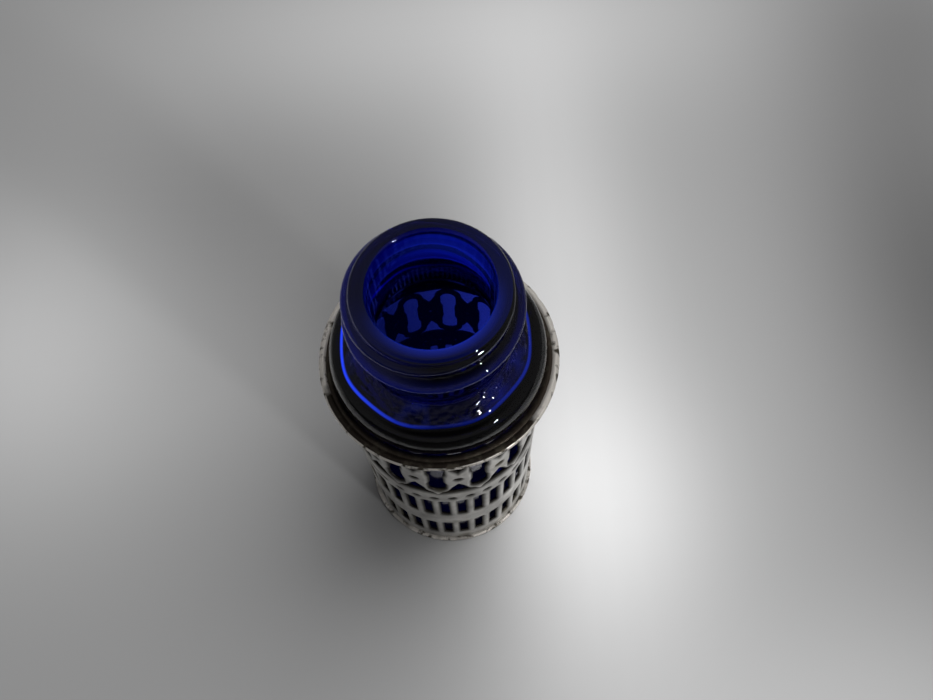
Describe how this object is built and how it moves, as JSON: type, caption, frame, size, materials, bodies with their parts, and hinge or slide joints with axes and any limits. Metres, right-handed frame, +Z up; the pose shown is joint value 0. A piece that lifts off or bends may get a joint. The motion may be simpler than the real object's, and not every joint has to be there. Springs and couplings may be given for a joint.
{
  "type": "screw-neck bottle in pierced sleeve",
  "caption": "Small cobalt glass bottle with a screw neck and eight-sided shoulder, standing in a pierced, silver-plated metal sleeve with a flared rim.",
  "frame": {"origin": "centre of the foot ring's underside", "axes": "+Z up along the bottle's axis; -Y is the front"},
  "size_m": [0.0352, 0.0352, 0.0728],
  "materials": {
    "cobalt_glass": "clear cobalt-blue blown glass, nearly black where thick",
    "silver_plate": "tarnished silver plate, dark in the recesses",
    "rim_plate": "pitted silver plate, worn to copper in places",
    "worn_plate": "brown worn plate over copper alloy"
  },
  "bodies": {
    "sleeve": {"pierced_wall": "silver_plate", "flared_collar": "worn_plate", "rim_bead": "rim_plate", "foot_ring": "silver_plate", "base_plate": "worn_plate"},
    "bottle": {"glass_bottle": "cobalt_glass"}
  },
  "joints": [
    {"name": "bottle_lift", "type": "slide", "parent": "sleeve", "child": "bottle", "axis": [0, 0, 1], "range_m": [0, 0.06]}
  ]
}
